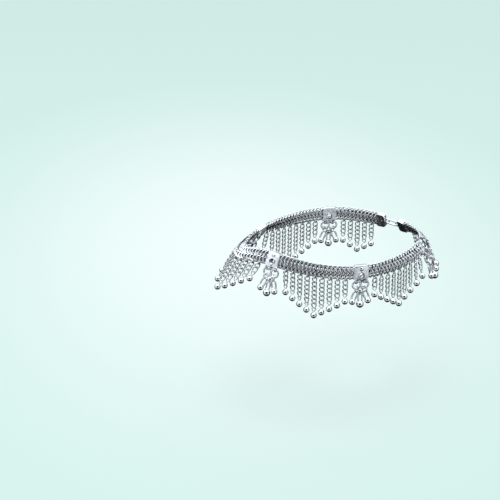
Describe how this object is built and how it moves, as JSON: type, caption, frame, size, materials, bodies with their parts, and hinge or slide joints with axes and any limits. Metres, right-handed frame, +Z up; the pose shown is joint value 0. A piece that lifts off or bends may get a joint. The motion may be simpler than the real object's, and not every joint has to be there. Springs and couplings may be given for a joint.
{
  "type": "payal anklet",
  "caption": "Silver-coloured anklet: a woven ribbon worn round the ankle, fringed with ball-tipped curb-chain drops and hanging bell clusters.",
  "frame": {"origin": "where the ankle's axis passes through the worn loop, level with about the middle of the ribbon's height", "axes": "+Z up the leg; -X towards the toes (instep side), +X towards the heel; -Y the outer side of the ankle, which faces the viewer"},
  "size_m": [0.1196, 0.0797, 0.0311],
  "materials": {
    "woven_silver": "woven silver wire, polished on its high spots and slightly dull in its recesses, with smooth connector plates",
    "drop_silver": "polished silver curb links and solid polished end balls",
    "ring_silver": "polished round silver wire",
    "bell_silver": "polished cast silver",
    "clasp_silver": "polished silver wire"
  },
  "bodies": {
    "root": {"band": "woven_silver", "clasp": "clasp_silver", "chain_drop_01": "drop_silver", "chain_drop_02": "drop_silver", "chain_drop_03": "drop_silver", "chain_drop_04": "drop_silver", "chain_drop_05": "drop_silver", "chain_drop_06": "drop_silver", "chain_drop_07": "drop_silver", "chain_drop_08": "drop_silver", "chain_drop_09": "drop_silver", "chain_drop_10": "drop_silver", "chain_drop_11": "drop_silver", "chain_drop_12": "drop_silver", "chain_drop_13": "drop_silver", "chain_drop_14": "drop_silver", "chain_drop_15": "drop_silver", "chain_drop_16": "drop_silver", "chain_drop_17": "drop_silver", "chain_drop_18": "drop_silver", "chain_drop_19": "drop_silver", "chain_drop_20": "drop_silver", "chain_drop_21": "drop_silver", "chain_drop_22": "drop_silver", "chain_drop_23": "drop_silver", "chain_drop_24": "drop_silver", "chain_drop_25": "drop_silver", "chain_drop_26": "drop_silver", "chain_drop_27": "drop_silver", "chain_drop_28": "drop_silver", "chain_drop_29": "drop_silver", "chain_drop_30": "drop_silver", "chain_drop_31": "drop_silver", "chain_drop_32": "drop_silver", "chain_drop_33": "drop_silver", "chain_drop_34": "drop_silver", "chain_drop_35": "drop_silver", "chain_drop_36": "drop_silver", "chain_drop_37": "drop_silver", "chain_drop_38": "drop_silver", "chain_drop_39": "drop_silver", "chain_drop_40": "drop_silver", "chain_drop_41": "drop_silver", "chain_drop_42": "drop_silver", "chain_drop_43": "drop_silver", "chain_drop_44": "drop_silver", "chain_drop_45": "drop_silver", "chain_drop_46": "drop_silver", "cluster_rings_1": "ring_silver", "cluster_rings_2": "ring_silver", "cluster_rings_3": "ring_silver", "cluster_rings_4": "ring_silver", "cluster_rings_5": "ring_silver", "bell_bunch_1": "bell_silver", "bell_bunch_2": "bell_silver", "bell_bunch_3": "bell_silver", "bell_bunch_4": "bell_silver", "bell_bunch_5": "bell_silver"}
  },
  "joints": []
}
